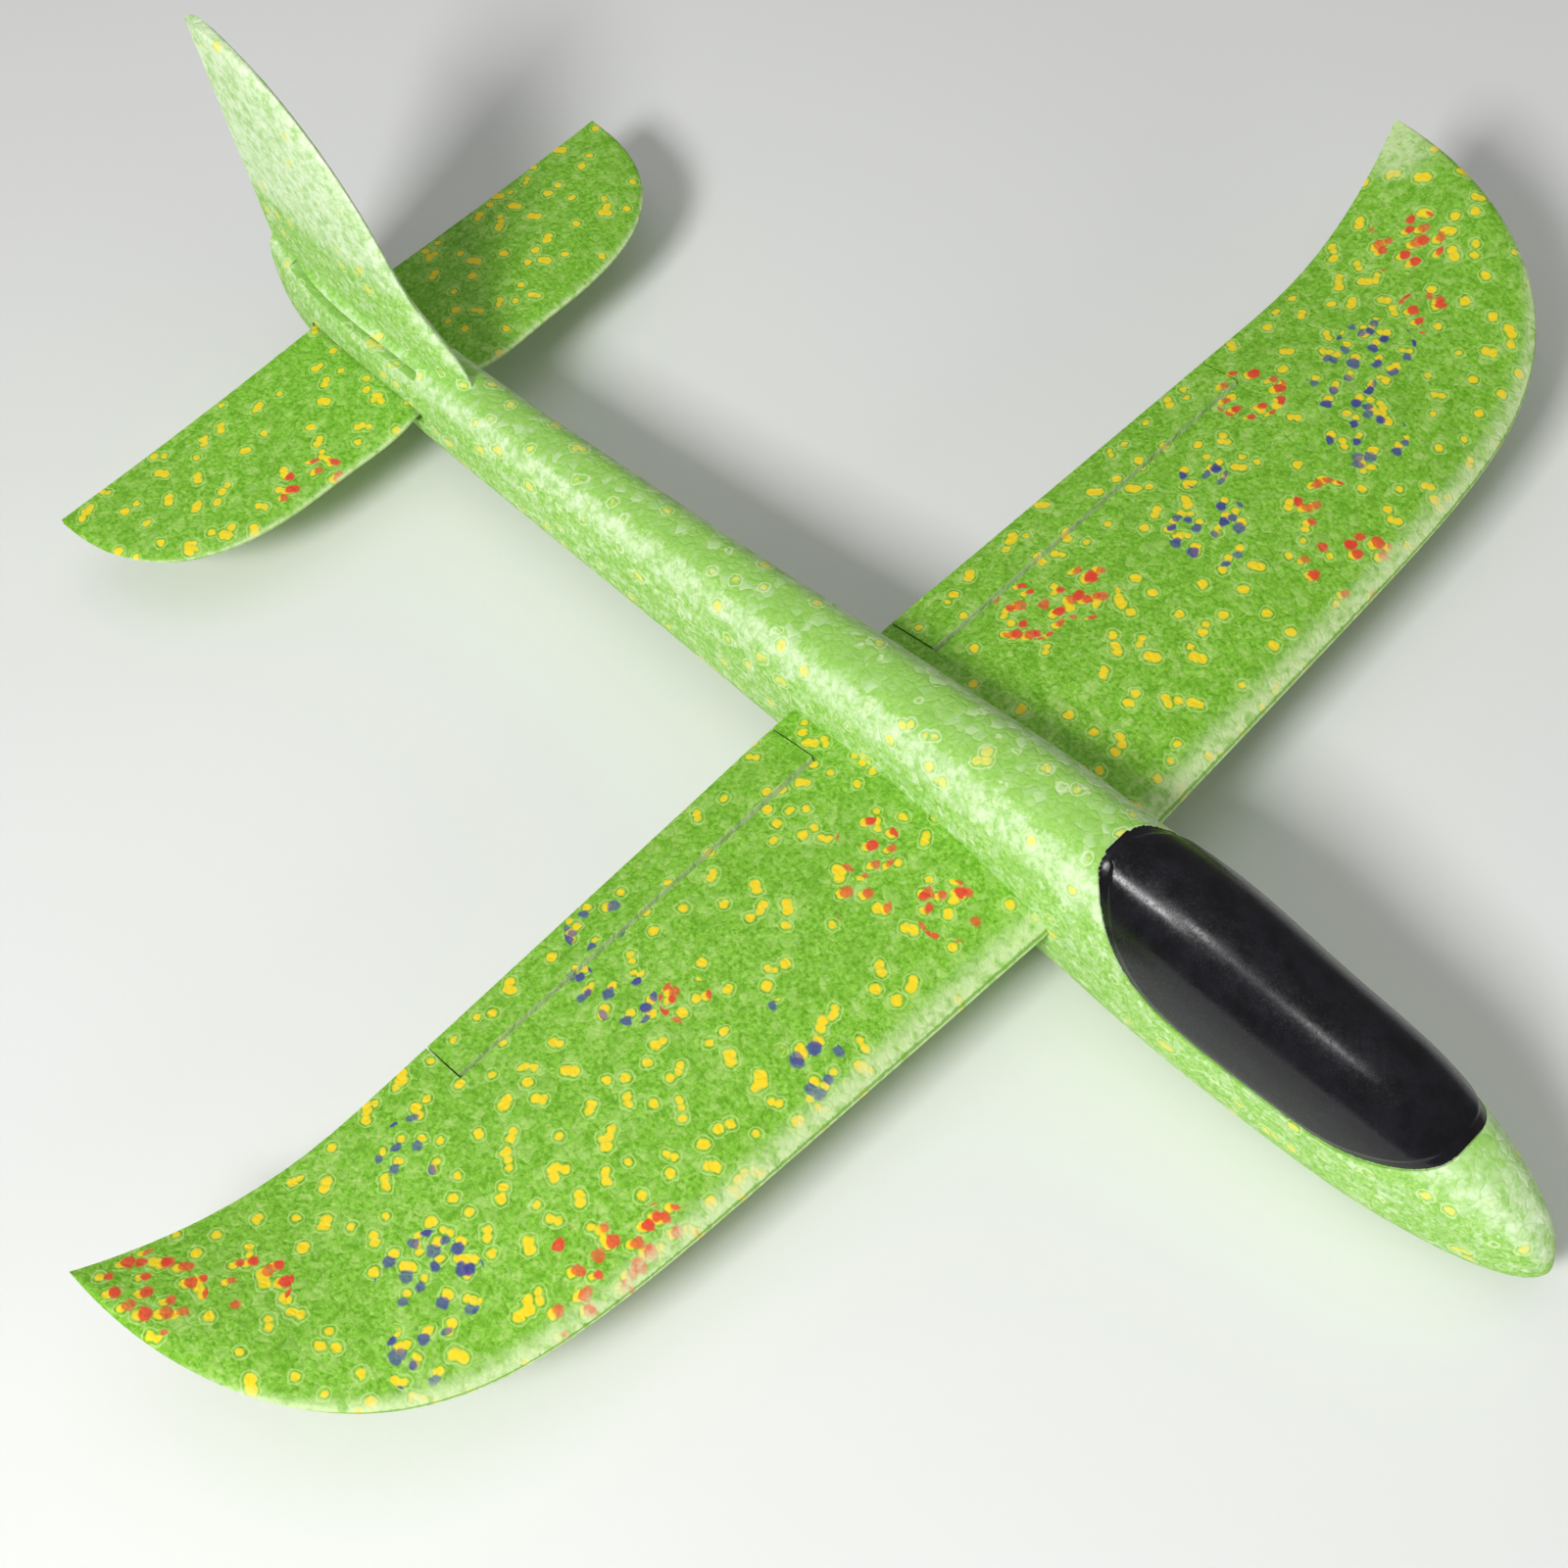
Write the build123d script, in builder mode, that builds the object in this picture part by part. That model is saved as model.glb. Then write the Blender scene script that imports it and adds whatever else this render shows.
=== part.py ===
from build123d import *
import os
from math import copysign, cos, pi, radians, sin, sqrt, tan

# Hand-launch foam glider, millimetres. +X points to the nose, +Y to the left wing tip, +Z up.
# The origin is under the middle of the overall length, on the surface the belly rests on.

# Overall size
overall_length = 468.0
wing_span = 480.0
nose_x = overall_length / 2
fin_tip_x = -overall_length / 2

# Hull: one foam moulding of rounded, slab-sided sections.
# Each station is (x, half width, bottom height, top height).
hull_stations = [
    (-231.0, 3.2, 16.5, 43.5),
    (-208.0, 8.2, 12.8, 43.6),
    (-178.0, 9.8, 11.5, 42.9),
    (-148.0, 10.4, 9.7, 42.0),
    (-118.0, 10.9, 9.1, 43.5),
    (-78.0, 11.8, 9.0, 46.5),
    (-38.0, 12.8, 8.8, 49.8),
    (-8.0, 13.8, 8.4, 52.8),
    (22.0, 15.0, 7.4, 55.6),
    (52.0, 16.2, 5.8, 58.2),
    (82.0, 17.3, 3.7, 59.6),
    (112.0, 18.3, 1.5, 59.8),
    (142.0, 18.5, -0.4, 57.9),
    (172.0, 17.2, -1.2, 53.4),
]
hull_steps = 14
widest_share = 0.45
section_power = 2.8
section_points = 10
tail_x = hull_stations[0][0]
nose_start_x = hull_stations[-1][0]
nose_tip_z = 13.5
nose_shares = [0.0, 0.22, 0.42, 0.6, 0.75, 0.87, 0.95, 0.985, 1.0]
nose_tip_share = 0.06
nose_curve_power = 1.6
nose_round_power = 0.5

# Wing: one foam moulding through the hull, tips turned up and ending in rear corners
half_span = wing_span / 2
wing_root_y = 20.0
wing_trailing_x = 4.5
wing_leading_x = 96.4
wing_trailing_z = 33.9
wing_leading_z = 30.1
wing_leading_sweep = 0.045
wing_trailing_sweep = 0.025
wing_round_y = 55.0
wing_round_power = 5.8
wing_root_ratio = 0.102
wing_tip_ratio = 0.07
wing_camber = 3.0
wing_tip_back = 12.6
wing_tip_back_y = 162.0
wing_tip_rise = 14.0
wing_tip_rise_y = 176.0
wing_tip_chord = 4.0
wing_steps = 12

# Ailerons: trailing-edge flaps bent about a V-groove pressed in both faces of the wing
hinge_x = 20.5
hinge_z = 35.0
aileron_inner_y = 22.0
aileron_outer_y = 144.0
hinge_gap = 0.3
end_gap = 0.5
groove_half_angle = 17.0

# Tailplane: flat foam plate that slides sideways out of the lower tail slot
tailplane_half_span = 104.5
tailplane_trailing_x = -208.0
tailplane_leading_x = -155.5
tailplane_z = 25.7
tailplane_ratio = 0.074
tailplane_trailing_sweep = 0.033
tailplane_tip_back = 2.2
tailplane_round_y = 28.0
tailplane_round_power = 3.7
tailplane_tip_chord = 4.0
tailplane_steps = 9
tail_slot_clearance = 0.3
tail_slot_end = 2.0
tail_slot_height = 5.2

# Upper tail slot: an angled slit that takes the tailplane for looping flight
upper_slot_length = 62.0
upper_slot_height = 2.2
upper_slot_x = -188.0
upper_slot_z = 40.4
upper_slot_angle = 2.0

# Fin, moulded in one with the hull
fin_base_z = 36.0
fin_tip_z = 125.0
fin_base_x = -229.5
fin_chord = 71.5
fin_round_power = 2.1
fin_tip_chord = 5.0
dorsal_reach = 29.0
dorsal_share = 0.36
dorsal_power = 1.25
fin_base_thickness = 7.0
fin_tip_thickness = 3.0
fin_steps = 14

# Canopy: thin black plastic shell let into the hull over the nose weight
canopy_wall = 1.0
canopy_proud = 0.4
canopy_rim_gap = 0.25
canopy_rim = [
    (101.0, 68.0),
    (102.2, 59.2),
    (106.0, 56.6),
    (111.0, 51.6),
    (116.4, 44.8),
    (125.6, 37.2),
    (138.0, 32.7),
    (154.0, 30.5),
    (166.5, 29.7),
    (178.6, 30.0),
    (188.2, 32.5),
    (197.0, 36.5),
    (203.5, 40.4),
    (207.6, 43.6),
    (208.8, 49.0),
]
canopy_top_z = 80.0
canopy_peg_diameter = 5.0
canopy_peg_length = 9.0
canopy_peg_places = [(126.0, 59.5), (181.0, 52.4)]
canopy_peg_fit = 0.05

# Nose weight: steel slug in a trough under the canopy
weight_diameter = 11.0
weight_length = 24.0
weight_x = 154.0
weight_z = 30.0
weight_fit = 0.1
weight_chamfer = 0.8

foil_points = 9
trailing_edge_thickness = 1.8


def foil_half_thickness(share, thickness):
    """Half thickness of a rounded foil at a share of the chord behind the leading edge."""
    front = 2.969 * sqrt(share) - 1.26 * share
    rounded = front - 3.516 * share**2 + 2.843 * share**3 - 1.036 * share**4
    return 0.5 * thickness * rounded + 0.5 * trailing_edge_thickness * share


def foil_outline(trailing, leading, thickness, camber=0.0):
    """Closed foil outline between the (along, up) points of its trailing and leading edges."""
    shares = [0.5 * (1 - cos(pi * step / foil_points)) for step in range(foil_points + 1)]
    upper = []
    lower = []
    for share in shares:
        along = leading[0] + (trailing[0] - leading[0]) * share
        middle = leading[1] + (trailing[1] - leading[1]) * share + 4 * camber * share * (1 - share)
        half = foil_half_thickness(share, thickness)
        upper.append((along, middle + half))
        lower.append((along, middle - half))
    with BuildLine() as outline:
        around = Spline(upper[::-1] + lower[1:])
        Line(around @ 1, around @ 0)
    return outline.edges()


def past(value, start, end):
    """How far value lies past start on the way to end, from 0 to 1."""
    return min(max((value - start) / (end - start), 0.0), 1.0)


def rounded_leading(y, round_y, tip_y, power, tip_x, root_x):
    """Leading edge that runs straight, then rounds back to the rear corner of the tip."""
    fullness = sqrt(1 - past(y, round_y, tip_y) ** power)
    return tip_x + (root_x - tip_x) * fullness


def closing_stations(start, end, steps):
    """Places from start to end that draw closer together towards the end."""
    return [start + (end - start) * sin(pi / 2 * step / steps) for step in range(steps + 1)]


def smooth_value(x, places, values):
    """Value at x on a smooth curve through the given places and values."""
    last = len(places) - 1
    slopes = []
    for i in range(last + 1):
        before = max(i - 1, 0)
        after = min(i + 1, last)
        slopes.append((values[after] - values[before]) / (places[after] - places[before]))
    i = max(k for k in range(last) if places[k] <= x)
    width = places[i + 1] - places[i]
    t = (x - places[i]) / width
    start = values[i] * (2 * t**3 - 3 * t**2 + 1) + slopes[i] * width * (t**3 - 2 * t**2 + t)
    end = values[i + 1] * (3 * t**2 - 2 * t**3) + slopes[i + 1] * width * (t**3 - t**2)
    return start + end


def wing_outline(y):
    """Outline of the wing's foil at a distance y from the middle of the aeroplane."""
    outboard = max(y - wing_root_y, 0.0)
    panel = half_span - wing_root_y
    back = wing_tip_back * past(y, wing_tip_back_y, half_span) ** 2
    trailing_x = wing_trailing_x + wing_trailing_sweep * outboard - back
    tip_x = wing_trailing_x + wing_trailing_sweep * panel - wing_tip_back + wing_tip_chord
    root_x = wing_leading_x - wing_leading_sweep * outboard
    leading_x = rounded_leading(y, wing_round_y, half_span, wing_round_power, tip_x, root_x)
    rise = wing_tip_rise * past(y, wing_tip_rise_y, half_span) ** 2
    chord = leading_x - trailing_x
    fullness = chord / (wing_leading_x - wing_trailing_x)
    ratio = wing_root_ratio + (wing_tip_ratio - wing_root_ratio) * outboard / panel
    drop = (wing_trailing_z - wing_leading_z) * fullness
    trailing = (trailing_x, wing_trailing_z + rise)
    leading = (leading_x, wing_trailing_z - drop + rise)
    return foil_outline(trailing, leading, ratio * chord, wing_camber * fullness)


def whole_wing():
    """Both halves of the wing as one solid, before the ailerons are cut free."""
    with BuildPart() as wing:
        with BuildSketch(Plane.XZ):
            make_face(wing_outline(0.0))
        extrude(amount=-wing_root_y)
        for station in closing_stations(wing_root_y, half_span, wing_steps):
            with BuildSketch(Plane.XZ.offset(-station)):
                make_face(wing_outline(station))
        loft()
        mirror(about=Plane.XZ)
    return wing.part


def flap_prism(front_x, lean, inner_y, outer_y):
    """Prism behind the hinge line, its front leaning by lean degrees away from mid-thickness."""
    height = 20.0
    lean_x = front_x + height * tan(radians(lean))
    with BuildPart() as prism:
        with BuildSketch(Plane.XZ.offset(-inner_y)):
            with BuildLine():
                Polyline(
                    (front_x, hinge_z),
                    (lean_x, hinge_z + height),
                    (wing_trailing_x - height, hinge_z + height),
                    (wing_trailing_x - height, hinge_z - height),
                    (lean_x, hinge_z - height),
                    close=True,
                )
            make_face()
        extrude(amount=inner_y - outer_y)
    return prism.part


def section_outline(half_width, bottom, top):
    """Outline of a hull section: two rounded half boxes that meet at the widest height."""
    widest = bottom + widest_share * (top - bottom)
    with BuildLine() as outline:
        for side, height in ((1, top - widest), (-1, widest - bottom)):
            points = []
            for step in range(section_points + 1):
                turn = pi * step / section_points
                across = half_width * copysign(abs(cos(turn)) ** (2 / section_power), cos(turn))
                points.append((across, widest + side * height * sin(turn) ** (2 / section_power)))
            Spline(points, tangents=[(0, side), (0, -side)])
    return outline.edges()


def body_sections():
    """Evenly spaced hull sections from the tail to the start of the nose."""
    places, *tracks = zip(*hull_stations)
    for step in range(hull_steps):
        x = tail_x + (nose_start_x - tail_x) * step / hull_steps
        yield x, *(smooth_value(x, places, track) for track in tracks)


def nose_sections():
    """Hull sections that round the nose off to a small blunt tip."""
    start_x, start_width, start_bottom, start_top = hull_stations[-1]
    for share in nose_shares:
        size = max((1 - share**nose_curve_power) ** nose_round_power, nose_tip_share)
        bottom = nose_tip_z + (start_bottom - nose_tip_z) * size
        top = nose_tip_z + (start_top - nose_tip_z) * size
        yield start_x + (nose_x - start_x) * share, start_width * size, bottom, top


def hull_shape(grow):
    """The hull grown outward by grow all round its sections."""
    with BuildPart() as shape:
        for x, half_width, bottom, top in [*body_sections(), *nose_sections()]:
            with BuildSketch(Plane.YZ.offset(x)):
                make_face(section_outline(half_width + grow, bottom - grow, top + grow))
        loft()
    return shape.part


def canopy_prism(gap):
    """Everything above the canopy's rim line, drawn in by gap."""
    rear_x = canopy_rim[0][0]
    front_x = canopy_rim[-1][0]
    shrink = 2 * gap / (front_x - rear_x)
    rim_points = [(x + shrink * ((rear_x + front_x) / 2 - x), z + gap) for x, z in canopy_rim]
    with BuildPart() as prism:
        with BuildSketch(Plane.XZ):
            with BuildLine():
                rim = Spline(rim_points)
                rear_top = ((rim @ 0).X, canopy_top_z)
                front_top = ((rim @ 1).X, canopy_top_z)
                Polyline(rim @ 1, front_top, rear_top, rim @ 0)
            make_face()
        extrude(amount=hull_stations[-1][1] * 2, both=True)
    return prism.part


wing_blank = whole_wing()
foam_hull = hull_shape(0.0)
canopy_outside = hull_shape(canopy_proud)
canopy_inside = hull_shape(canopy_proud - canopy_wall)

# Recess that the canopy drops into: the part of the rim prism outside the canopy's inner face
with BuildPart() as canopy_recess:
    add(canopy_prism(0.0))
    add(canopy_inside, mode=Mode.SUBTRACT)


# Fuselage: hull and fin moulded as one piece, pierced by the wing slot and two tail slots
with BuildPart() as fuselage:
    add(foam_hull)
    fin_height = fin_tip_z - fin_base_z
    for share in closing_stations(0.0, 1.0, fin_steps):
        with BuildSketch(Plane.XY.offset(fin_base_z + fin_height * share)):
            chord = fin_tip_chord + (fin_chord - fin_tip_chord) * sqrt(1 - share**fin_round_power)
            dorsal = dorsal_reach * (1 - past(share, 0.0, dorsal_share)) ** dorsal_power
            thickness = fin_base_thickness + (fin_tip_thickness - fin_base_thickness) * share
            trailing_x = fin_base_x + (fin_tip_x - fin_base_x) * share
            make_face(foil_outline((trailing_x, 0), (trailing_x + chord + dorsal, 0), thickness))
    loft()
    add(wing_blank, mode=Mode.SUBTRACT)
    add(canopy_recess.part, mode=Mode.SUBTRACT)
    slot_chord = tailplane_leading_x - tailplane_trailing_x
    with BuildSketch(Plane.XZ):
        with Locations((tailplane_trailing_x + slot_chord / 2, tailplane_z)):
            SlotOverall(slot_chord + 2 * tail_slot_clearance + tail_slot_end, tail_slot_height)
        with Locations((upper_slot_x, upper_slot_z)):
            SlotOverall(upper_slot_length, upper_slot_height, rotation=-upper_slot_angle)
    extrude(amount=hull_stations[-1][1], both=True, mode=Mode.SUBTRACT)
    for x, top in canopy_peg_places:
        with Locations((x, 0, top)):
            Cylinder(
                canopy_peg_diameter / 2 + canopy_peg_fit,
                2 * (canopy_peg_length + canopy_peg_fit),
                mode=Mode.SUBTRACT,
            )
    with BuildSketch(Plane.YZ.offset(weight_x)):
        with Locations((0, weight_z)):
            Circle(weight_diameter / 2 + weight_fit)
        with Locations((0, (weight_z + canopy_top_z) / 2)):
            Rectangle(weight_diameter + 2 * weight_fit, canopy_top_z - weight_z)
    extrude(amount=weight_length / 2 + weight_fit, both=True, mode=Mode.SUBTRACT)
    split(bisect_by=Plane.XY, keep=Keep.TOP)
    fuselage.part.label = "fuselage"

# Main wing: whole wing with the two ailerons cut free behind their grooves
with BuildPart() as main_wing:
    add(wing_blank)
    bay = flap_prism(hinge_x + hinge_gap / 2, groove_half_angle, aileron_inner_y, aileron_outer_y)
    add(bay, mode=Mode.SUBTRACT)
    mirror(bay, about=Plane.XZ, mode=Mode.SUBTRACT)
    main_wing.part.label = "main_wing"

# Left aileron
with BuildPart() as left_aileron:
    add(wing_blank)
    flap = flap_prism(
        hinge_x - hinge_gap / 2,
        -groove_half_angle,
        aileron_inner_y + end_gap,
        aileron_outer_y - end_gap,
    )
    add(flap, mode=Mode.INTERSECT)
    left_aileron.part.label = "left_aileron"

# Right aileron: mirror image of the left one
with BuildPart() as right_aileron:
    mirror(left_aileron.part, about=Plane.XZ)
    right_aileron.part.label = "right_aileron"

# Tailplane
with BuildPart() as tailplane:
    corner_x = tailplane_trailing_x + tailplane_trailing_sweep * tailplane_half_span - tailplane_tip_back
    for y in closing_stations(0.0, tailplane_half_span, tailplane_steps):
        back = tailplane_tip_back * past(y, tailplane_round_y, tailplane_half_span) ** 2
        trailing_x = tailplane_trailing_x + tailplane_trailing_sweep * y - back
        leading_x = rounded_leading(
            y,
            tailplane_round_y,
            tailplane_half_span,
            tailplane_round_power,
            corner_x + tailplane_tip_chord,
            tailplane_leading_x,
        )
        thickness = tailplane_ratio * (leading_x - trailing_x)
        with BuildSketch(Plane.XZ.offset(-y)):
            make_face(foil_outline((trailing_x, tailplane_z), (leading_x, tailplane_z), thickness))
    loft()
    mirror(about=Plane.XZ)
    tailplane.part.label = "tailplane"

# Canopy: thin shell with two press pegs
with BuildPart() as canopy:
    add(canopy_prism(canopy_rim_gap))
    add(canopy_outside, mode=Mode.INTERSECT)
    add(canopy_inside, mode=Mode.SUBTRACT)
    for x, top in canopy_peg_places:
        with Locations((x, 0, top)):
            Cylinder(
                canopy_peg_diameter / 2,
                canopy_peg_length,
                align=(Align.CENTER, Align.CENTER, Align.MAX),
            )
    canopy.part.label = "canopy"

# Nose weight
with BuildPart() as nose_weight:
    with BuildSketch(Plane.YZ.offset(weight_x)):
        with Locations((0, weight_z)):
            Circle(weight_diameter / 2)
    extrude(amount=weight_length / 2, both=True)
    chamfer(nose_weight.edges().filter_by(GeomType.CIRCLE), weight_chamfer)
    nose_weight.part.label = "nose_weight"

os.makedirs("parts", exist_ok=True)
for piece in (fuselage, main_wing, left_aileron, right_aileron, tailplane, canopy, nose_weight):
    export_step(piece.part, f"parts/{piece.part.label}.step")
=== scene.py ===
"""Looks for the foam throwing glider: speckled foam, glossy canopy, pale floor and soft studio light."""

import math

import bmesh
import bpy
from mathutils import Matrix, Vector
from mathutils.kdtree import KDTree


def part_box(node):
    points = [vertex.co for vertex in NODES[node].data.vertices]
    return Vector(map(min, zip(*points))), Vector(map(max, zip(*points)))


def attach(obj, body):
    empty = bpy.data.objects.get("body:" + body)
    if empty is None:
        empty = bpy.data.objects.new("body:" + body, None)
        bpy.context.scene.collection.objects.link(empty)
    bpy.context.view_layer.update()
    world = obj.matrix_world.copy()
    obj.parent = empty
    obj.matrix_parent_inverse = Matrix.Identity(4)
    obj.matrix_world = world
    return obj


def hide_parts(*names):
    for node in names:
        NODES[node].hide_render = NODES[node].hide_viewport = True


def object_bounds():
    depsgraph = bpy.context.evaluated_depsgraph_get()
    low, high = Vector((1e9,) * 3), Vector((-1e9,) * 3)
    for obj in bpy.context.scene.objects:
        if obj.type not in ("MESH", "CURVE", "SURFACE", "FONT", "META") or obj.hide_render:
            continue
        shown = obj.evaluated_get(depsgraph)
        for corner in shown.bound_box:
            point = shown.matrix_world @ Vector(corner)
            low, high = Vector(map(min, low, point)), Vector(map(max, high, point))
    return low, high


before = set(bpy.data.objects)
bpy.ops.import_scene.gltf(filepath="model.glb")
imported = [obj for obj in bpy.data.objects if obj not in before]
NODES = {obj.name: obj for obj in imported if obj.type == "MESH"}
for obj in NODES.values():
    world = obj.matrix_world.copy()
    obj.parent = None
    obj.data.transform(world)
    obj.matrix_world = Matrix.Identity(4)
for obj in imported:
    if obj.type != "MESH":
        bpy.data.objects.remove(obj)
CAD_LOW, CAD_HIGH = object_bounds()
MM = 0.001

# Camera: place in metres and axes, in the same frame as the model
CAMERA_PLACE = Vector((0.3133, -0.2411, 0.5864))
CAMERA_FORWARD = Vector((-0.4465, 0.3170, -0.8368))
CAMERA_RIGHT = Vector((0.6987, 0.7077, -0.1047))
LENS_MM = 59.31
SENSOR_MM = 36.0


def rgb(red, green, blue):
    """Linear colour with alpha from sRGB values out of 255."""
    parts = []
    for value in (red / 255, green / 255, blue / 255):
        parts.append(value / 12.92 if value <= 0.04045 else ((value + 0.055) / 1.055) ** 2.4)
    return (*parts, 1.0)


# Foam colours: dark, main and light tones, a greener tone for painted shade on the hull's back, beads, the
# pale ring round a bead, and the pale tone of the painted highlight on the front edge
GREEN_DARK = rgb(96, 158, 24)
GREEN_MAIN = rgb(134, 196, 56)
GREEN_LIGHT = rgb(184, 220, 122)
# Greener tone for painted shade on the hull's back and left side
SHADED_TOP_GREEN = rgb(150, 206, 88)
PALE_DARK = rgb(134, 192, 78)
PALE_MAIN = rgb(172, 219, 114)
PALE_LIGHT = rgb(236, 250, 218)
BEAD_YELLOW = rgb(238, 214, 52)
BEAD_HEART = rgb(250, 214, 20)
BEAD_PALE = rgb(240, 232, 110)
BEAD_RED = rgb(222, 60, 44)
BEAD_BLUE = rgb(60, 60, 140)
RING_GREEN = rgb(190, 222, 130)
RING_PALE = rgb(226, 244, 190)
# Pale tone for the painted highlights on the front edge and a wing tip corner
EDGE_HIGHLIGHT_PALE = rgb(206, 226, 168)

# Black plastic, bare steel and the floor
BLACK_TONES = (rgb(8, 8, 11), rgb(20, 19, 26))
STEEL_TONES = (rgb(120, 122, 126), rgb(176, 178, 182))
FLOOR_TONES = (rgb(228, 229, 227), rgb(234, 235, 233))

# Foam bead sizes in mm
PRESSED_CELL = 2.9
BEAD_RADIUS = 1.12
BEAD_BLEND = 0.7
FAR_AWAY = 9.0
BEAD_CELL = 8.2
CROWDED_CELL = 4.6

# Layers of yellow beads on the green foam: cell size, shift in mm, and the share of cells from low to high
GREEN_LAYERS = [
    (BEAD_CELL, (0.0, 0.0, 0.0), 0.0, 0.50),
    (BEAD_CELL, (1.6, 0.9, 0.0), 0.0, 0.12),
    (BEAD_CELL, (-0.9, 1.6, 0.0), 0.12, 0.20),
    (9.4, (37.0, 11.0, 0.0), 0.0, 0.40),
    (9.4, (38.7, 9.9, 0.0), 0.0, 0.12),
]
CROWDED_SHIFT = (71.0, 23.0, 0.0)
CROWDED_SHARE = 0.42

# The same for the pale foam
PALE_LAYERS = [
    (8.0, (0.0, 0.0, 0.0), 0.0, 0.85),
    (8.0, (1.9, 1.1, 0.6), 0.0, 0.25),
]

# Red and blue beads beside the yellow ones: cell size, shift in mm and share
RED_LAYERS = [(CROWDED_CELL, (70.4, 21.6, 0.0), 0.48), (BEAD_CELL, (-0.6, -1.4, 0.0), 0.58)]
BLUE_LAYERS = [(CROWDED_CELL, (70.2, 25.1, 0.0), 0.38), (BEAD_CELL, (-0.8, 2.1, 0.0), 0.58)]
COLOURED_RADIUS = 1.3 * BEAD_RADIUS

# Painted highlight on the corner at the rear of the left wing tip, in mm
LIT_TIP_CORNER = (2.0, 234.0, 48.0)

# Height in mm over which the pale hull goes over into the paler fin; the fin's paleness is a painted
# highlight for the key light on it
FIN_FROM = 60.0
FIN_FULL = 72.0

# Canopy flange, in mm
CANOPY_VOXEL = 0.36
CREASE_STEP = 0.3
FLANGE_WIDTH = 2.8
FLANGE_SLOPE = 0.5
FLANGE_DEPTH = 0.36
ROUND_OVER_WIDTH = 2.3
ROUND_OVER_DEPTH = 0.30
CANOPY_KEEP = 0.4

# Floor half width and what the studio lights aim at, in metres
FLOOR_REACH = 6.0
LIGHT_AIM = (0.0, 0.0, 0.03)
WORLD_STRENGTH = 0.2

# Where red and blue beads gather on the wing and tail: (x, y) of each gathering and its reach, in mm
RED_GATHERINGS = [
    (14, -229, 13), (28, -211, 9), (84, -155, 16), (86, -138, 9), (50, -33, 9), (60, -45, 8), (77, -32, 9),
    (47, -93, 7), (25, 210, 12), (44, 194, 8), (26, 142, 11), (31, 47, 11), (38, 61, 10), (66, 125, 9),
    (80, 116, 14), (-156, -48, 13),
]
BLUE_GATHERINGS = [
    (56, -183, 14), (27, -164, 10), (67, -197, 8), (69, -81, 7), (82, -84, 9), (37, -103, 8), (22, -109, 7),
    (14, -93, 9), (42, 176, 12), (42, 160, 11), (60, 150, 12), (50, 98, 13), (35, 112, 7),
]


class Graph:
    """Small helper that adds and links shader nodes."""

    def __init__(self, name):
        self.material = bpy.data.materials.new(name)
        self.material.use_nodes = True
        self.tree = self.material.node_tree
        self.tree.nodes.clear()
        self.output = self.add("ShaderNodeOutputMaterial")
        self.shader = self.add("ShaderNodeBsdfPrincipled")
        self.link(self.shader.outputs[0], self.output.inputs[0])
        coordinates = self.add("ShaderNodeTexCoord")
        self.place = coordinates.outputs["Object"]
        self.facing = coordinates.outputs["Normal"]

    def add(self, kind, **settings):
        node = self.tree.nodes.new(kind)
        for key, value in settings.items():
            setattr(node, key, value)
        return node

    def link(self, source, target):
        self.tree.links.new(source, target)

    def put(self, socket, value):
        """Sets a socket to a value, or links it to an output."""
        if isinstance(value, bpy.types.NodeSocket):
            self.link(value, socket)
        else:
            socket.default_value = value

    def math(self, operation, first, second=0.0, third=0.0):
        node = self.add("ShaderNodeMath", operation=operation)
        for socket, value in zip(node.inputs, (first, second, third)):
            self.put(socket, value)
        return node.outputs[0]

    def vector(self, operation, first, second=None, scale=None):
        node = self.add("ShaderNodeVectorMath", operation=operation)
        self.put(node.inputs[0], first)
        if second is not None:
            self.put(node.inputs[1], second)
        if scale is not None:
            self.put(node.inputs["Scale"], scale)
        return node

    def band(self, value, start, end, low=0.0, high=1.0):
        """low before start, high after end, smooth between. start may be above end."""
        node = self.add("ShaderNodeMapRange", interpolation_type="SMOOTHSTEP")
        self.put(node.inputs["Value"], value)
        if start > end:
            start, end, low, high = end, start, high, low
        for name, number in (("From Min", start), ("From Max", end), ("To Min", low), ("To Max", high)):
            node.inputs[name].default_value = number
        return node.outputs["Result"]

    def mix(self, share, first, second):
        """Colour from first to second, by share."""
        node = self.add("ShaderNodeMix", data_type="RGBA")
        self.put(node.inputs[0], share)
        self.put(node.inputs[6], first)
        self.put(node.inputs[7], second)
        return node.outputs[2]

    def noise(self, where, size, detail=2.0, rough=0.5, colour=False):
        """Noise whose features are about size mm across."""
        node = self.add("ShaderNodeTexNoise")
        self.put(node.inputs["Vector"], where)
        node.inputs["Scale"].default_value = 1 / size
        node.inputs["Detail"].default_value = detail
        node.inputs["Roughness"].default_value = rough
        return node.outputs["Color" if colour else "Fac"]

    def cells(self, where, size, feature="F1", dimensions="3D"):
        """Voronoi cells about size mm across."""
        node = self.add("ShaderNodeTexVoronoi", feature=feature, voronoi_dimensions=dimensions)
        self.put(node.inputs["Vector"], where)
        node.inputs["Scale"].default_value = 1 / size
        return node

    def random_values(self, cells):
        """The three random values of a cell."""
        node = self.add("ShaderNodeSeparateColor")
        self.link(cells.outputs["Color"], node.inputs[0])
        return node.outputs

    def split(self, vector):
        """The X, Y and Z of a vector."""
        node = self.add("ShaderNodeSeparateXYZ")
        self.link(vector, node.inputs[0])
        return node.outputs

    def bump(self, height, strength, depth):
        """Roughens the shader's normal by height, over depth mm."""
        node = self.add("ShaderNodeBump")
        node.inputs["Strength"].default_value = strength
        node.inputs["Distance"].default_value = depth * MM
        self.link(height, node.inputs["Height"])
        self.link(node.outputs[0], self.shader.inputs["Normal"])


def in_millimetres(graph):
    """The object's own coordinates in millimetres."""
    return graph.vector("SCALE", graph.place, scale=1 / MM).outputs[0]


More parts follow.
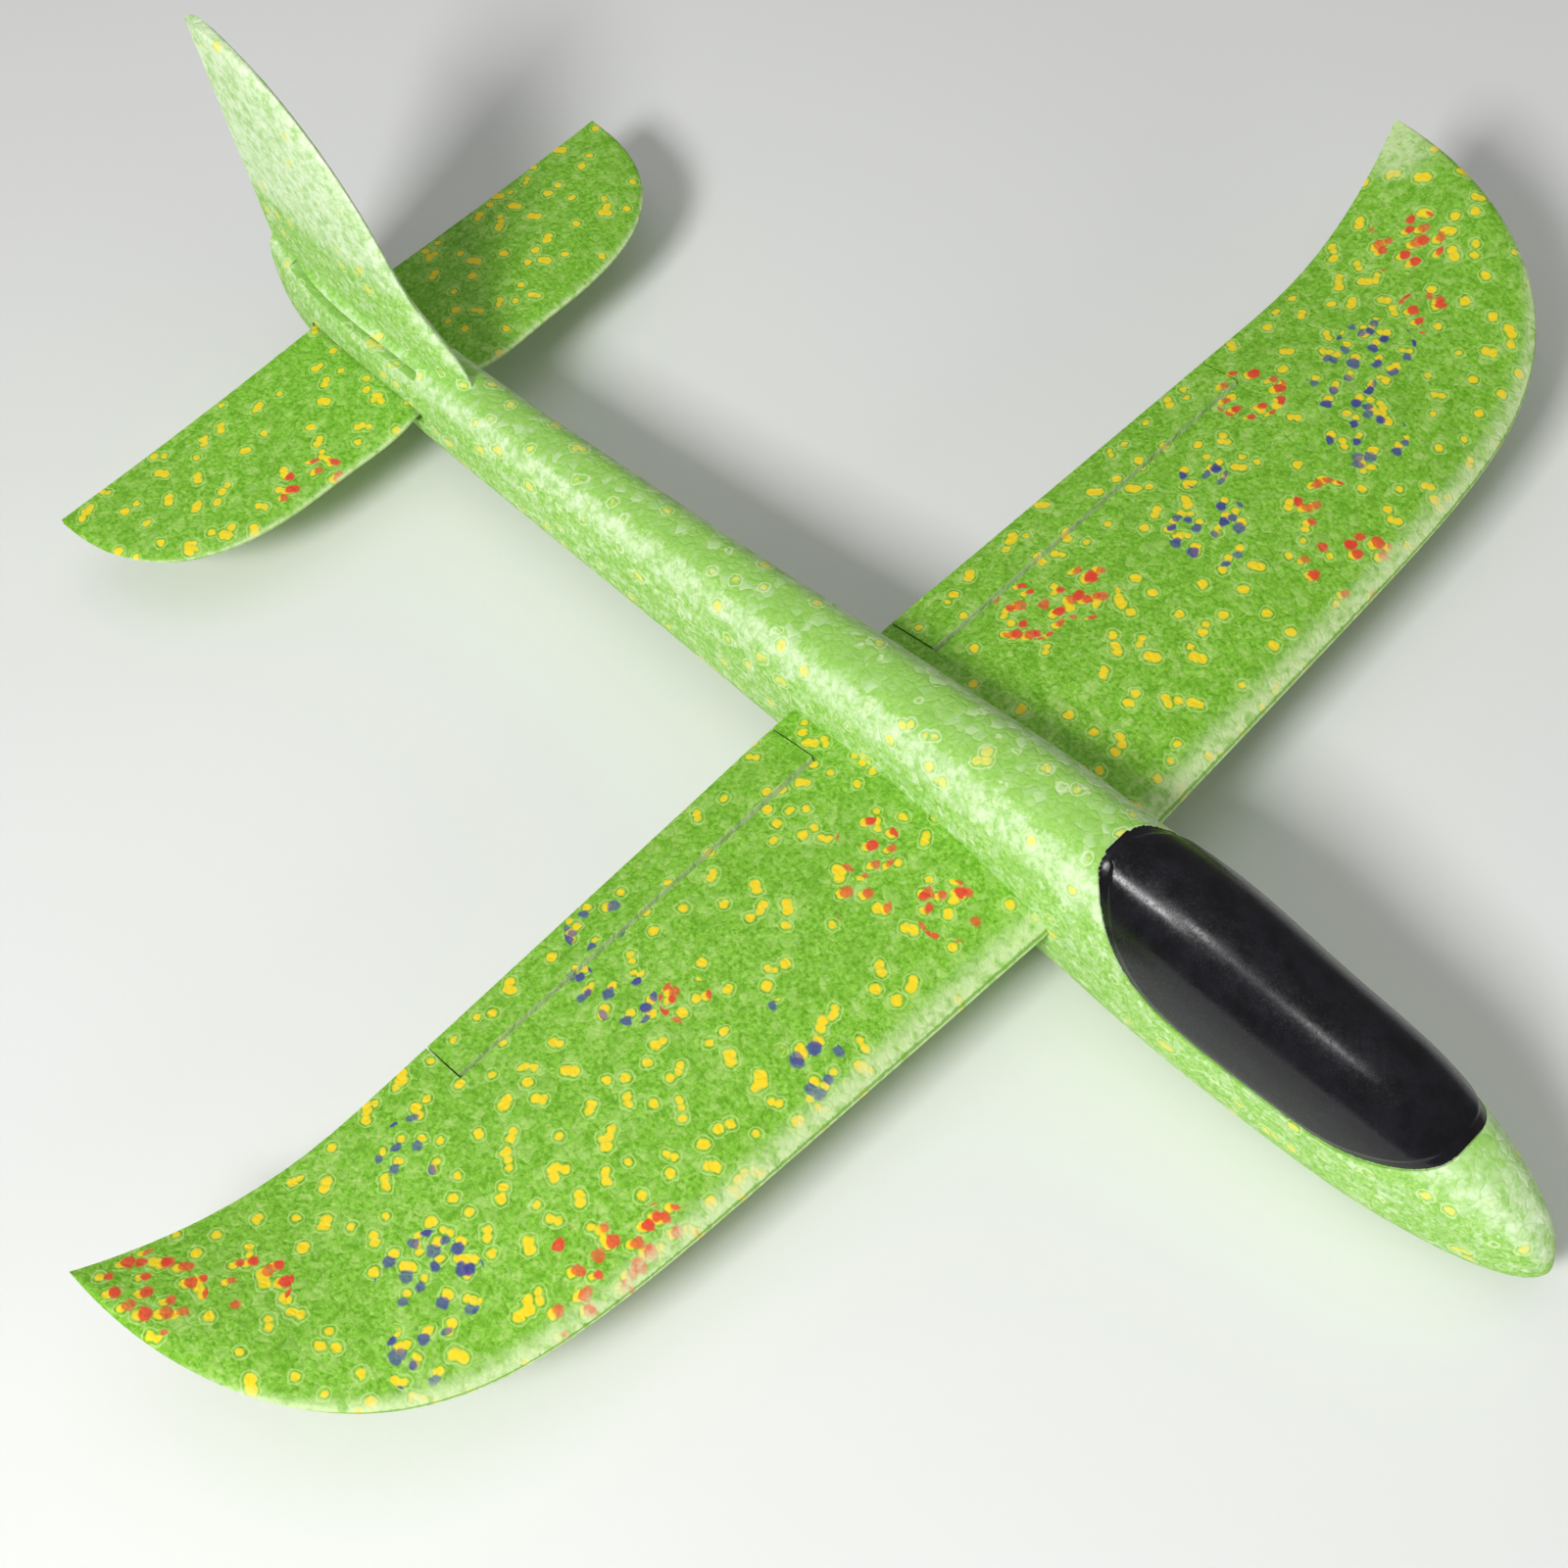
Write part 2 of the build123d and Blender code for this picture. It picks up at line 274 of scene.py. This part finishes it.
def gathered(graph, where, gatherings):
    """How near a point is to any of the gatherings, seen from above, from 0 to 1."""
    flat = graph.vector("MULTIPLY", where, (1.0, 1.0, 0.0)).outputs[0]
    nearest = None
    for x, y, reach in gatherings:
        distance = graph.vector("DISTANCE", flat, (x, y, 0.0)).outputs["Value"]
        share = graph.band(distance, reach * 1.3, reach * 0.6)
        nearest = share if nearest is None else graph.math("MAXIMUM", nearest, share)
    return nearest


def bead_distance(graph, where, size, radius, shift, low, high, dimensions):
    """Distance in mm outside the nearest bead and a random value, for cells with values from low to high."""
    shifted = graph.vector("ADD", where, shift).outputs[0]
    node = graph.cells(shifted, size, dimensions=dimensions)
    values = graph.random_values(node)
    reach = graph.math("MULTIPLY_ADD", values[1], radius * 0.5, radius * 0.75)
    beyond = graph.math("SUBTRACT", graph.math("MULTIPLY", node.outputs["Distance"], size), reach)
    chosen = graph.math("LESS_THAN", values[0], high)
    if low > 0:
        chosen = graph.math("MULTIPLY", chosen, graph.math("GREATER_THAN", values[0], low))
    removed = graph.math("MULTIPLY_ADD", chosen, -FAR_AWAY, FAR_AWAY)
    return graph.math("ADD", beyond, removed), values[2]


def nearest_bead(graph, distances):
    """Distance outside the nearest of several sets of beads, with near ones run together."""
    nearest = distances[0]
    for distance in distances[1:]:
        nearest = graph.math("SMOOTH_MIN", nearest, distance, BEAD_BLEND)
    return nearest


def base_tones(graph, where, grain, clumps, dark, main, light):
    """Fine grain, clumps and broad patches of the foam's own colour."""
    broad = graph.noise(where, 26.0, 2.0, 0.5)
    colour = graph.mix(graph.band(grain, 0.33, 0.55), dark, main)
    colour = graph.mix(graph.band(grain, 0.52, 0.78, 0.0, 0.75), colour, light)
    colour = graph.mix(graph.band(clumps, 0.52, 0.70, 0.0, 0.58), colour, light)
    colour = graph.mix(graph.band(clumps, 0.46, 0.30, 0.0, 0.55), colour, dark)
    return graph.mix(graph.band(broad, 0.35, 0.65, 0.0, 0.16), colour, dark)


def hull_shade_and_highlights(graph, where, clumps, colour):
    """Painted shade: a greener back, more so on the left side; painted highlight: pale shoulders and a paler
    fin, standing for the key light on them.
    """
    _, sideways, upright = graph.split(graph.facing)
    # Painted shade: the back and the left side made greener, where less light falls
    back = graph.band(graph.math("MULTIPLY_ADD", sideways, 0.35, upright), 0.62, 0.95, 0.0, 0.72)
    colour = graph.mix(back, colour, SHADED_TOP_GREEN)
    # Painted highlight across the shoulders, broken up by the flecks
    shoulder_highlight = graph.math("MULTIPLY", graph.band(upright, 0.22, 0.5), graph.band(upright, 0.94, 0.74))
    flecks = graph.band(clumps, 0.36, 0.56, 0.22, 0.64)
    faint = graph.math("MULTIPLY", flecks, 0.75)
    colour = graph.mix(graph.math("MULTIPLY", shoulder_highlight, faint), colour, PALE_LIGHT)
    # Painted highlight: the fin made paler towards the top, for the key light on it
    fin = graph.band(graph.split(where)[2], FIN_FROM, FIN_FULL)
    strong = graph.math("ADD", flecks, 0.12)
    return graph.mix(graph.math("MULTIPLY", fin, strong), colour, PALE_LIGHT)


def pressed_cells(graph, warped, edge, dark, light, colour):
    """The foam's pressed cells, some lighter or darker, with dark seams between them."""
    values = graph.random_values(graph.cells(warped, PRESSED_CELL))
    colour = graph.mix(graph.band(values[0], 0.74, 1.0, 0.0, 0.30), colour, light)
    colour = graph.mix(graph.band(values[1], 0.78, 1.0, 0.0, 0.30), colour, dark)
    return graph.mix(graph.band(edge, 0.30, 0.02, 0.0, 0.20), colour, dark)


def lay_beads(graph, beyond, edge_tone, heart_tone, ring_tone, strength, colour):
    """Beads with a brighter heart and a thin pale ring a little way out."""
    ring = graph.math("MULTIPLY", graph.band(beyond, 0.55, 0.75), graph.band(beyond, 1.15, 0.95))
    colour = graph.mix(graph.math("MULTIPLY", ring, 0.55), colour, ring_tone)
    bead_tone = graph.mix(graph.band(beyond, 0.0, -0.9), edge_tone, heart_tone)
    bead = graph.band(beyond, 0.32, -0.22)
    return graph.mix(graph.math("MULTIPLY", bead, strength), colour, bead_tone)


def green_beads(graph, where, warped, colour):
    """Yellow beads all over, crowded where red and blue beads lie beside them."""
    red = gathered(graph, where, RED_GATHERINGS)
    blue = gathered(graph, where, BLUE_GATHERINGS)
    sets = []
    for size, shift, low, high in GREEN_LAYERS:
        sets.append(bead_distance(graph, warped, size, BEAD_RADIUS, shift, low, high, "2D")[0])
    crowded, _ = bead_distance(
        graph, warped, CROWDED_CELL, BEAD_RADIUS, CROWDED_SHIFT, 0.0, CROWDED_SHARE, "2D"
    )
    outside = graph.band(graph.math("MAXIMUM", red, blue), 0.3, 0.6, FAR_AWAY, 0.0)
    sets.append(graph.math("ADD", crowded, outside))
    beyond = nearest_bead(graph, sets)
    colour = lay_beads(graph, beyond, BEAD_YELLOW, BEAD_HEART, RING_GREEN, 0.94, colour)
    for share, tone, layers in ((red, BEAD_RED, RED_LAYERS), (blue, BEAD_BLUE, BLUE_LAYERS)):
        for size, shift, high in layers:
            distance, value = bead_distance(
                graph, warped, size, COLOURED_RADIUS, shift, 0.0, high, "2D"
            )
            distance = graph.math("ADD", distance, graph.band(share, 0.3, 0.6, FAR_AWAY, 0.0))
            bead = graph.band(distance, 0.35, -0.35)
            depth = graph.band(value, 0.0, 1.0, 0.7, 0.95)
            colour = graph.mix(graph.math("MULTIPLY", bead, depth), colour, tone)
    return colour


def pale_beads(graph, warped, colour):
    """Sparse pale yellow beads."""
    sets = []
    for size, shift, low, high in PALE_LAYERS:
        sets.append(bead_distance(graph, warped, size, 1.1 * BEAD_RADIUS, shift, low, high, "3D")[0])
    beyond = nearest_bead(graph, sets)
    return lay_beads(graph, beyond, BEAD_PALE, BEAD_PALE, RING_PALE, 0.8, colour)


def edge_highlights_and_mould_line(graph, where, colour):
    """Painted highlight along the front edge, with a dark mould line along it, and a painted highlight on
    one wing corner.
    """
    forward = graph.split(graph.facing)[0]
    patchy = graph.band(graph.noise(where, 2.6, 2.0), 0.30, 0.58, 0.35, 1.0)
    # Painted highlight along the front edge, where the front light falls
    front = graph.band(forward, 0.24, 0.52, 0.0, 0.9)
    colour = graph.mix(graph.math("MULTIPLY", front, patchy), colour, EDGE_HIGHLIGHT_PALE)
    line = graph.math("MULTIPLY", graph.band(forward, 0.62, 0.70), graph.band(forward, 0.86, 0.78))
    colour = graph.mix(graph.math("MULTIPLY", line, 0.75), colour, GREEN_DARK)
    # Painted highlight on the rear corner of the left wing tip
    away = graph.vector("DISTANCE", where, LIT_TIP_CORNER).outputs["Value"]
    corner_highlight = graph.band(away, 15.0, 6.0, 0.0, 0.8)
    return graph.mix(graph.math("MULTIPLY", corner_highlight, patchy), colour, EDGE_HIGHLIGHT_PALE)


def foam(name, dark, main, light, green):
    """Expanded bead foam: grain, pressed cells, and coloured beads moulded in."""
    graph = Graph(name)
    where = in_millimetres(graph)
    wobble = graph.vector("SUBTRACT", graph.noise(where, 2.4, 1.0, colour=True), (0.5, 0.5, 0.5)).outputs[0]
    warp = graph.vector("MULTIPLY_ADD", wobble, (1.5, 1.5, 1.5))
    graph.put(warp.inputs[2], where)
    warped = warp.outputs[0]
    grain = graph.noise(where, 1.25, 3.0, 0.72)
    clumps = graph.noise(where, 3.4, 3.0, 0.6)
    seams = graph.cells(warped, PRESSED_CELL, "DISTANCE_TO_EDGE")
    edge = graph.math("MULTIPLY", seams.outputs["Distance"], PRESSED_CELL)

    colour = base_tones(graph, where, grain, clumps, dark, main, light)
    # The pale hull foam gets painted shade and painted highlights
    if not green:
        colour = hull_shade_and_highlights(graph, where, clumps, colour)
    colour = pressed_cells(graph, warped, edge, dark, light, colour)
    if green:
        colour = green_beads(graph, where, warped, colour)
        # Painted highlights on the front edge and one wing corner, with the dark mould line
        colour = edge_highlights_and_mould_line(graph, where, colour)
    else:
        colour = pale_beads(graph, warped, colour)
    graph.link(colour, graph.shader.inputs["Base Color"])

    graph.link(graph.band(grain, 0.3, 0.7, 0.78, 0.60), graph.shader.inputs["Roughness"])
    graph.shader.inputs["Specular IOR Level"].default_value = 0.3
    height = graph.math("ADD", graph.band(edge, 0.0, 0.7), graph.math("MULTIPLY", grain, 0.7))
    graph.bump(height, 0.5, 0.18)
    return graph.material


def glossy_black():
    """Moulded black plastic with a fine grain and a faint handling haze."""
    graph = Graph("canopy_black_plastic")
    where = in_millimetres(graph)
    haze = graph.noise(where, 7.0, 3.0, 0.6)
    grain = graph.noise(where, 0.8, 3.0, 0.7)
    graph.link(graph.mix(graph.band(haze, 0.3, 0.7), *BLACK_TONES), graph.shader.inputs["Base Color"])
    dull = graph.band(grain, 0.45, 0.75, 0.0, 0.16)
    gloss = graph.math("ADD", graph.band(haze, 0.3, 0.7, 0.19, 0.27), dull)
    graph.link(gloss, graph.shader.inputs["Roughness"])
    graph.shader.inputs["Specular IOR Level"].default_value = 0.5
    graph.bump(grain, 0.22, 0.05)
    return graph.material


def turned_steel():
    """Bare steel with fine turning marks round its length."""
    graph = Graph("turned_steel")
    where = in_millimetres(graph)
    stretched = graph.vector("MULTIPLY", where, (6.0, 0.4, 0.4)).outputs[0]
    marks = graph.noise(stretched, 1.0, 4.0, 0.6)
    graph.link(graph.mix(marks, *STEEL_TONES), graph.shader.inputs["Base Color"])
    graph.link(graph.band(marks, 0.3, 0.7, 0.28, 0.42), graph.shader.inputs["Roughness"])
    graph.shader.inputs["Metallic"].default_value = 1.0
    return graph.material


def plain_floor():
    """Pale matt studio floor."""
    graph = Graph("studio_floor")
    tone = graph.noise(graph.place, 0.6, 2.0, 0.5)
    graph.link(graph.mix(tone, *FLOOR_TONES), graph.shader.inputs["Base Color"])
    graph.shader.inputs["Roughness"].default_value = 0.9
    return graph.material


def dress(name, material):
    """Gives a CAD node one material."""
    piece = NODES[name]
    piece.data.materials.clear()
    piece.data.materials.append(material)
    for polygon in piece.data.polygons:
        polygon.material_index = 0


# Camera
camera_data = bpy.data.cameras.new("camera")
camera_data.lens = LENS_MM
camera_data.sensor_width = SENSOR_MM
camera_data.clip_start = 0.01
camera_data.clip_end = 50.0
camera = bpy.data.objects.new("camera", camera_data)
bpy.context.scene.collection.objects.link(camera)
camera_up = CAMERA_RIGHT.cross(CAMERA_FORWARD)
turn = Matrix((CAMERA_RIGHT, camera_up, -CAMERA_FORWARD)).transposed()
camera.matrix_world = Matrix.Translation(CAMERA_PLACE) @ turn.to_4x4()
bpy.context.scene.camera = camera

# Foam and plastic
green_foam = foam("green_bead_foam", GREEN_DARK, GREEN_MAIN, GREEN_LIGHT, True)
pale_foam = foam("pale_bead_foam", PALE_DARK, PALE_MAIN, PALE_LIGHT, False)
dress("fuselage", pale_foam)
for name in ("main_wing", "left_aileron", "right_aileron", "tailplane"):
    dress(name, green_foam)
dress("nose_weight", turned_steel())


def longest_creases(builder, angle, share):
    """Points along the sharp edges that run together for at least share of the longest run."""
    paired = [edge for edge in builder.edges if len(edge.link_faces) == 2]
    sharp = [edge for edge in paired if edge.calc_face_angle(0.0) > angle]
    wanted = set(sharp)
    seen = set()
    runs = []
    for start in sharp:
        if start in seen:
            continue
        run = []
        queue = [start]
        seen.add(start)
        while queue:
            edge = queue.pop()
            run.append(edge)
            for corner in edge.verts:
                for other in corner.link_edges:
                    if other in wanted and other not in seen:
                        seen.add(other)
                        queue.append(other)
        runs.append(run)
    lengths = [sum(edge.calc_length() for edge in run) for run in runs]
    points = []
    for run, length in zip(runs, lengths):
        if length < share * max(lengths):
            continue
        for edge in run:
            steps = max(1, math.ceil(edge.calc_length() / (CREASE_STEP * MM)))
            first, last = (corner.co for corner in edge.verts)
            points += [first.lerp(last, step / steps) for step in range(steps + 1)]
    return points


def relax(builder, rounds):
    """Evens out the vertices, and brings the normals up to date."""
    for _ in range(rounds):
        bmesh.ops.smooth_vert(
            builder, verts=builder.verts, factor=0.5, use_axis_x=True, use_axis_y=True, use_axis_z=True
        )
    builder.normal_update()


def crease_tree(points):
    """Search tree of the points along the creases."""
    tree = KDTree(len(points))
    for index, point in enumerate(points):
        tree.insert(point, index)
    tree.balance()
    return tree


def bake(shell):
    """Turns the object's modifiers into its mesh."""
    graph = bpy.context.evaluated_depsgraph_get()
    mesh = bpy.data.meshes.new_from_object(shell.evaluated_get(graph))
    shell.modifiers.clear()
    shell.data = mesh


def press_flange(mesh, rim):
    """Sinks a flange all along the rim and rounds it over, towards the middle of the canopy."""
    builder = bmesh.new()
    builder.from_mesh(mesh)
    relax(builder, 4)
    low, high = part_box("canopy")
    core = (low.z + high.z) / 2 - 0.25 * (high.z - low.z)
    moves = []
    for corner in builder.verts:
        outward = Vector((0.0, corner.co.y, corner.co.z - core)).normalized()
        facing = min(1.0, max(0.0, (corner.normal.dot(outward) + 0.3) / 0.8))
        distance = rim.find(corner.co)[2] / MM
        if facing == 0.0 or distance > FLANGE_WIDTH:
            continue
        step = min(1.0, max(0.0, (FLANGE_WIDTH - distance) / FLANGE_SLOPE))
        step = step * step * (3 - 2 * step)
        round_over = max(0.0, 1 - distance / ROUND_OVER_WIDTH)
        depth = FLANGE_DEPTH * step + ROUND_OVER_DEPTH * round_over
        moves.append((corner, outward * (-MM * facing * depth)))
    for corner, move in moves:
        corner.co += move
    relax(builder, 1)
    builder.to_mesh(mesh)
    builder.free()


def canopy_shell(node, material):
    """The canopy with a raised panel inside a thin pressed flange that follows its rim."""
    builder = bmesh.new()
    builder.from_mesh(node.data)
    bmesh.ops.remove_doubles(builder, verts=builder.verts, dist=0.002 * MM)
    rim = crease_tree(longest_creases(builder, math.radians(40), 0.4))
    mesh = bpy.data.meshes.new("canopy_shell")
    builder.to_mesh(mesh)
    builder.free()
    shell = bpy.data.objects.new("canopy_shell", mesh)
    bpy.context.scene.collection.objects.link(shell)
    remesh = shell.modifiers.new("remesh", "REMESH")
    remesh.mode = "VOXEL"
    remesh.voxel_size = CANOPY_VOXEL * MM
    bake(shell)
    press_flange(shell.data, rim)
    shell.modifiers.new("thin", "DECIMATE").ratio = CANOPY_KEEP
    bake(shell)
    shell.data.materials.clear()
    shell.data.materials.append(material)
    for polygon in shell.data.polygons:
        polygon.use_smooth = True
    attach(shell, "airframe")
    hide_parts("canopy")


canopy_shell(NODES["canopy"], glossy_black())

# Floor
mesh = bpy.data.meshes.new("floor")
builder = bmesh.new()
bmesh.ops.create_grid(builder, x_segments=8, y_segments=8, size=FLOOR_REACH)
builder.to_mesh(mesh)
builder.free()
mesh.materials.append(plain_floor())
floor = bpy.data.objects.new("floor", mesh)
bpy.context.scene.collection.objects.link(floor)
floor.location.z = CAD_LOW.z


def area_light(name, place, aim, size, power):
    """Rectangular soft light at place, turned towards aim."""
    data = bpy.data.lights.new(name, "AREA")
    data.shape = "RECTANGLE"
    data.size, data.size_y = size
    data.energy = power
    light = bpy.data.objects.new(name, data)
    bpy.context.scene.collection.objects.link(light)
    light.location = place
    light.rotation_euler = (Vector(aim) - Vector(place)).to_track_quat("-Z", "Y").to_euler()
    return light


# Soft lights that shade the foam and leave the canopy's gloss alone
for name, place, size, power in (
    ("key", (0.25, -1.05, 1.05), (0.4, 0.4), 19.0),
    ("overhead", (0.1, 0.1, 1.5), (1.4, 1.2), 4.0),
    ("front", (1.3, 0.1, 0.5), (0.9, 0.4), 2.2),
):
    area_light(name, place, LIGHT_AIM, size, power).visible_glossy = False

# Strips overhead that only add gloss, mostly the streak on the canopy
for name, place, size, power in (
    ("rear_strip", (-0.40, -0.30, 1.2), (0.55, 0.24), 8.5),
    ("front_strip", (0.02, -0.02, 1.2), (0.30, 0.14), 1.8),
):
    strip = area_light(name, place, place, size, power)
    strip.rotation_euler = (0.0, 0.0, 0.0)
    strip.visible_diffuse = False

world = bpy.data.worlds.new("studio")
world.use_nodes = True
world.node_tree.nodes["Background"].inputs[0].default_value = (1.0, 1.0, 1.0, 1.0)
world.node_tree.nodes["Background"].inputs[1].default_value = WORLD_STRENGTH
bpy.context.scene.world = world
bpy.context.scene.view_settings.view_transform = "Standard"
